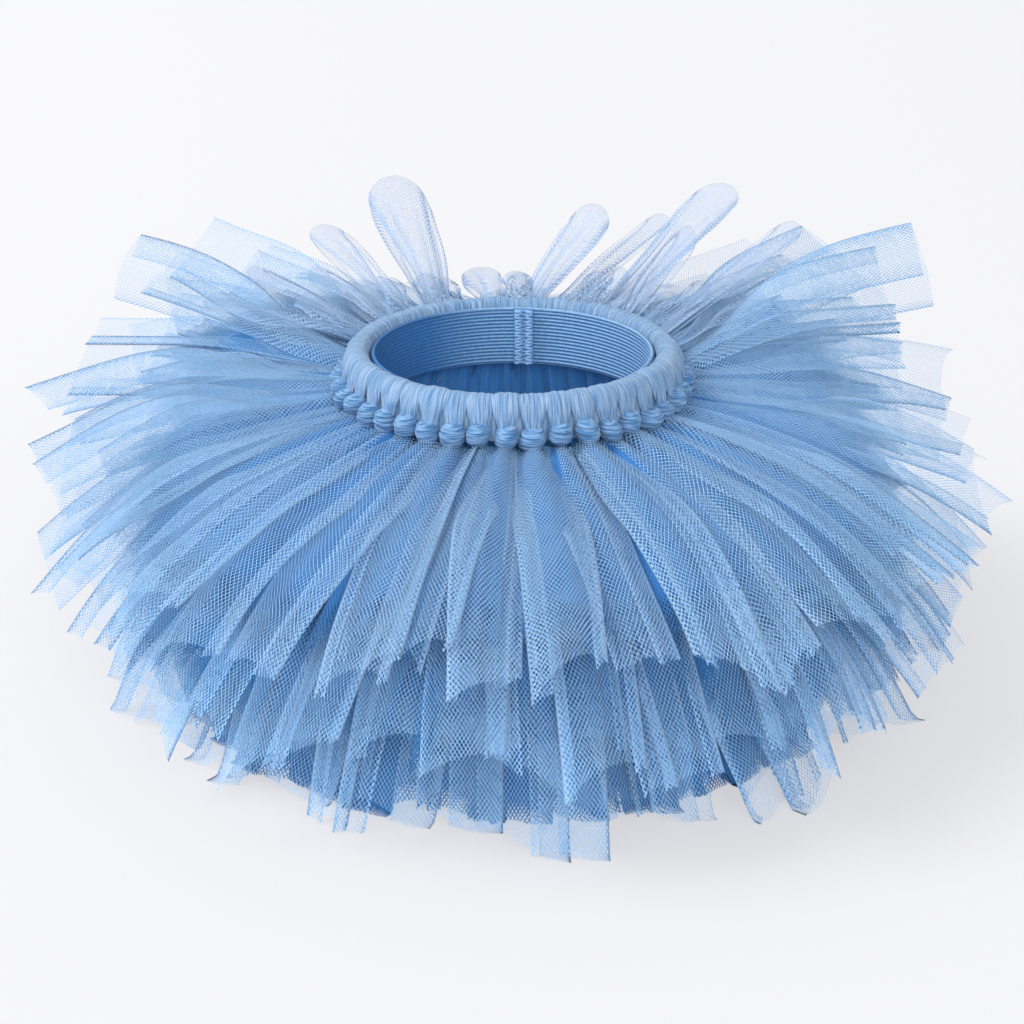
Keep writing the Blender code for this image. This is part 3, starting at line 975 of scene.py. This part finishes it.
def makeLap():
    bm = bmesh.new()
    ribLayer = bm.verts.layers.float.new("rib")
    top, bottom = elastic["top"] - 0.0003, elastic["bottom"] + 0.0004
    places = []
    for vert, column, row in gridIn(bm, lap["columns"], lap["rows"]):
        u = column / (lap["columns"] - 1) * 2 - 1
        v = row / (lap["rows"] - 1)
        rib = 0.5 - 0.5 * math.cos(math.tau * v * elastic["ribs"])
        # one edge is sewn down, and the other stands a little off the elastic
        radius = lap["radius"] - 0.00025 * rib - 0.0007 * smooth(-u, 0.1, 0.9) + (0.0006 if u == 1 else 0)
        azimuth = lap["azimuth"] + math.degrees(u * lap["width"] / 2 / lap["radius"])
        vert.co = roundWaist(azimuth, radius, bottom + (top - bottom) * v)
        vert[ribLayer] = rib
        places.append((vert, (u * lap["width"] / 2, (top - bottom) * v)))
    layFlat(bm, places)
    piece = addPiece("elasticLap", bm, elasticMaterial, ["elastic_lap"])
    solid = piece.modifiers.new("cloth", "SOLIDIFY")
    solid.thickness = lap["thickness"]
    solid.offset = -1
    return piece


def stitchThread():
    material, tree, shader = newMaterial("elastic_stitch")
    place = tree.nodes.new("ShaderNodeTexCoord").outputs["Object"]
    noise = tree.nodes.new("ShaderNodeTexNoise")
    setOn(noise, {"Scale": 2200, "Detail": 1.0})
    wire(tree, place, noise.inputs["Vector"])
    colour = mixColour(tree, noise.outputs["Fac"], (0.10, 0.27, 0.58, 1), (0.32, 0.54, 0.82, 1))
    wire(tree, colour, shader.inputs["Base Color"])
    setOn(shader, {"Roughness": 0.7, "Sheen Weight": 0.2})
    bump(tree, noise.outputs["Fac"], 0.0002, 0.8, shader)
    return material


def makeStitches():
    # each stitch is a short fat loop of thread
    chance = random.Random(lap["stitchSeed"])
    bm = bmesh.new()
    lowest, rise = elastic["bottom"] + 0.0012, elastic["top"] - elastic["bottom"] - 0.003
    for side, radius in zip((-1, 1), lap["stitchRadius"]):
        for index in range(lap["stitches"]):
            height = lowest + rise * index / (lap["stitches"] - 1)
            slant = 0.5 if index % 2 else -0.5
            made = bmesh.ops.create_uvsphere(bm, u_segments=8, v_segments=6, radius=1)
            for vert in made["verts"]:
                x, y, z = vert.co
                across = side * lap["stitchFromMiddle"] + x * 0.0019 - z * 0.0003
                up = z * 0.00078 + x * 0.0019 * slant * 0.5
                azimuth = lap["azimuth"] + math.degrees(across / 0.0622)
                rough = chance.uniform(-0.00003, 0.00003)
                vert.co = roundWaist(azimuth, radius + y * 0.0009 + rough, height + up)
    bmesh.ops.recalc_face_normals(bm, faces=bm.faces)
    return addPiece("elasticStitches", bm, stitchThread())


bandPiece = makeElastic(elastic)
lapPiece = makeLap()
stitchPiece = makeStitches()


# strips left folded as loops at the back
loops = {
    # knot, heading and lift in degrees, then length, width and distance from the knot in millimetres
    "strips": [
        (15, 127.4, 27.1, 100, 18, 0.4), (17, 113.8, 51.8, 62, 20, 1.3), (18, 139.5, 25.1, 120, 28, 0.4),
        (20, 139.1, 21.0, 100, 15, 0.4), (21, 138.8, 39.8, 75, 25, 1.2), (22, 186.6, 21.8, 42, 20, 0.3),
        (24, 202.5, 41.6, 90, 30, 0.7), (25, 214.4, 16.0, 105, 20, 0.3), (26, 227.9, 18.7, 65, 14, 0.3),
        (27, 235.4, 14.9, 85, 14, 0.3)],
    # the same, for the crumpled folds that lie low between them
    "lowFolds": [
        (14, 133, 12, 66, 20, 0.5), (16, 118, 30, 44, 20, 0.9), (16, 150, 16, 40, 18, 0.8),
        (19, 142, 36, 34, 14, 0.9), (19, 122, 34, 40, 15, 1.0), (20, 214, 32, 34, 15, 0.8),
        (22, 142, 36, 31, 13, 1.0), (23, 226, 30, 36, 15, 0.9), (23, 216, 40, 27, 13, 1.0),
        (25, 216, 34, 33, 14, 1.0), (26, 206, 16, 48, 20, 0.8), (28, 222, 20, 46, 18, 0.9),
        (28, 247, 11, 84, 22, 0.5)],
    "rootRadius": 0.0852,
    "rootHeight": 0.144,
    "rootWidth": 0.006,
    "opening": 0.0014,
    "belly": 0.0042,
    "crease": 0.0014,
    "cup": (0.0015, 0.0035),
    "short": 0.05,  # shorter ones are crumpled as the low folds are
    "full": {"tip": 0.9, "crumple": 0.0006, "closed": 0.24, "openBy": 0.55, "shaded": 0.0},
    "low": {"tip": 0.5, "crumple": 0.0020, "closed": 0.20, "openBy": 0.8, "shaded": 0.35},
    "spots": (-1, -0.92, -0.80, -0.66, -0.5, -0.34, -0.16, 0.0, 0.16, 0.34, 0.5, 0.66, 0.80, 0.92, 1),
    "rowsRound": 65,
    "edges": {0: 0.6, 1: 0.3},
    "shownLength": 0.17,
    "seed": 41,
}


def layLoop(bm, layers, strip, chance):
    knot, heading, lift, length, width, clear = strip
    length, width, clear = length / 1000, width / 1000, clear / 1000
    kind = loops["low" if length < loops["short"] or strip in loops["lowFolds"] else "full"]
    heading, lift = math.radians(heading), math.radians(lift)
    level = Vector((math.sin(heading), -math.cos(heading), 0))
    ahead = level * math.cos(lift) + Vector((0, 0, math.sin(lift)))
    above = Vector((0, 0, math.cos(lift))) - level * math.sin(lift)
    sideways = ahead.cross(above)
    root = roundWaist(knotAzimuth(knot), loops["rootRadius"] + clear, loops["rootHeight"])
    shift, netTurn = chance.uniform(0, 0.01), chance.uniform(-0.2, 0.2)
    cup, bow = chance.uniform(*loops["cup"]), chance.uniform(-0.003, 0.003)
    creases = {
        chance.choice((3, 4, 5)): chance.uniform(0.5, 1.0),
        chance.choice((9, 10, 11)): chance.uniform(0.3, 0.9),
    }
    crumple, phase, lean = kind["crumple"], chance.uniform(0, math.tau), chance.uniform(-0.22, 0.22)
    columns = len(loops["spots"])
    places = []
    for vert, column, row in gridIn(bm, columns, loops["rowsRound"]):
        u = loops["spots"][column]
        v = row / (loops["rowsRound"] - 1)  # out along the top half and back along the bottom one
        far = (1 - math.cos(math.tau * v)) / 2
        topHalf = v < 0.5
        belly = math.sin(math.pi * far)
        tip = kind["tip"] * width / 2 * (1 - math.sqrt(1 - min(0.985, u * u)))
        half = loops["opening"] * math.cos(math.pi * v)
        half += loops["belly"] * math.sin(math.tau * v) * math.sin(math.pi * v) * (1 - 0.75 * abs(u) ** 3)
        wide = loops["rootWidth"] + (width - loops["rootWidth"]) * min(1.0, far / 0.85) ** 0.85
        lower = 0.5 - 0.5 * math.cos(math.pi * v)
        half += 0.0007 * math.cos(column * 2.4 + lower * 2) * (1 - far) - cup * u * u * far
        crease = creases.get(column, 0.0) * smooth(far, 1.0, 0.55 if topHalf else 0.2)
        half -= crease * loops["crease"]
        half += crumple * math.sin(far * 8 + column * 0.8 + phase) * belly
        # the two thicknesses lie a little crossed, so that their edges show side by side
        aside = lean * width * belly * (0.5 if topHalf else -0.5)
        aside += 1.3 * crumple * math.sin(far * 6 + phase) * belly
        across = u * wide / 2 + bow * far * far + aside
        vert.co = root + ahead * (far * (length - tip)) + above * half + sideways * across
        edge = loops["edges"].get(min(column, columns - 1 - column), 0.0)
        vert[layers["edge"]] = max(edge, crease * 0.5)
        vert[layers["closed"]] = kind["closed"] * (1 - smooth(far, 0.02, kind["openBy"]))
        vert[layers["shaded"]] = 0.40 * (1 - smooth(far, 0.0, 0.45)) + kind["shaded"]
        places.append((vert, turned(u * width * 0.6 + shift, v * 2 * length, netTurn)))
    layFlat(bm, places)
    return width * 1.2 * length * 2


def makeLoops():
    chance = random.Random(loops["seed"])
    bm = bmesh.new()
    layers = stripLayers(bm)
    area = sum(layLoop(bm, layers, strip, chance) for strip in loops["strips"] + loops["lowFolds"])
    nodes = [f"back_loop_{number + 1:02d}" for number in range(len(loops["strips"]))]
    piece = addPiece("backLoops", bm, tulleMaterials["loop"], nodes)


makeLoops()


stage = {
    "floorSize": 15,
    "paper": (0.28, 0.28, 0.29, 1),
    "glowColour": (0.98, 0.98, 1.0, 1),
    "glow": (0.53, 0.68),  # in front and at the back
    "glowFrom": (-0.4, 3.5),
    "sky": (0.965, 0.97, 1.0, 1),
    "skyStrength": 0.58,
    "aimHeight": 0.08,
    "lamps": {
        "key": {"place": (-3.7, -0.5, 4.1), "size": 2.6, "power": 235},
        "fill": {"place": (0.5, -4.8, 2.9), "size": 4.6, "power": 210},
    },
}


def floorPaper():
    material, tree, shader = newMaterial("floor_paper")
    setOn(shader, {"Base Color": stage["paper"], "Emission Color": stage["glowColour"]})
    setOn(shader, {"Roughness": 0.9, "Specular IOR Level": 0.1})
    parts = splitPlace(tree, tree.nodes.new("ShaderNodeTexCoord").outputs["Object"])
    glow = mapRange(tree, parts["Y"], stage["glowFrom"], stage["glow"])
    wire(tree, glow, shader.inputs["Emission Strength"])
    return material


def makeStage():
    bm = bmesh.new()
    bmesh.ops.create_grid(bm, x_segments=2, y_segments=2, size=stage["floorSize"])
    addObject("floor", meshFrom("floor", bm, floorPaper()))
    world = bpy.data.worlds.new("studio")
    bpy.context.scene.world = world
    world.use_nodes = True
    sky = world.node_tree.nodes["Background"]
    setOn(sky, {"Color": stage["sky"], "Strength": stage["skyStrength"]})
    for name, look in stage["lamps"].items():
        lamp = bpy.data.lights.new(name, "AREA")
        lamp.shape = "DISK"
        lamp.size = look["size"]
        lamp.energy = look["power"]
        light = addObject(name, lamp)
        light.location = look["place"]
        ahead = Vector((0, 0, stage["aimHeight"])) - light.location
        light.rotation_euler = ahead.to_track_quat("-Z", "Y").to_euler()


view = {
    "elevation": 18.4,
    "distance": 1.12,
    "lens": 85,
    "sensor": 36,
    "aimHeight": 0.157,
    "aimAt": (512.7, 348.7),  # where in the picture that point stands, in pixels
    "picture": 1024,
}


def makeCamera():
    lens = bpy.data.cameras.new("camera")
    lens.lens = view["lens"]
    lens.sensor_width = view["sensor"]
    lens.shift_x = (view["picture"] / 2 - view["aimAt"][0]) / view["picture"]
    lens.shift_y = (view["aimAt"][1] - view["picture"] / 2) / view["picture"]
    camera = addObject("camera", lens)
    tilt = math.radians(view["elevation"])
    aim = Vector((*tutu["middle"], view["aimHeight"]))
    camera.location = aim + view["distance"] * Vector((0, -math.cos(tilt), math.sin(tilt)))
    camera.rotation_euler = (math.pi / 2 - tilt, 0, 0)
    bpy.context.scene.camera = camera


makeStage()
makeCamera()
bpy.context.scene.view_settings.view_transform = "Standard"
bpy.context.scene.cycles.transparent_max_bounces = 12
bpy.context.scene.cycles.diffuse_bounces = 2
bpy.context.scene.cycles.max_bounces = 4
print("stage set")
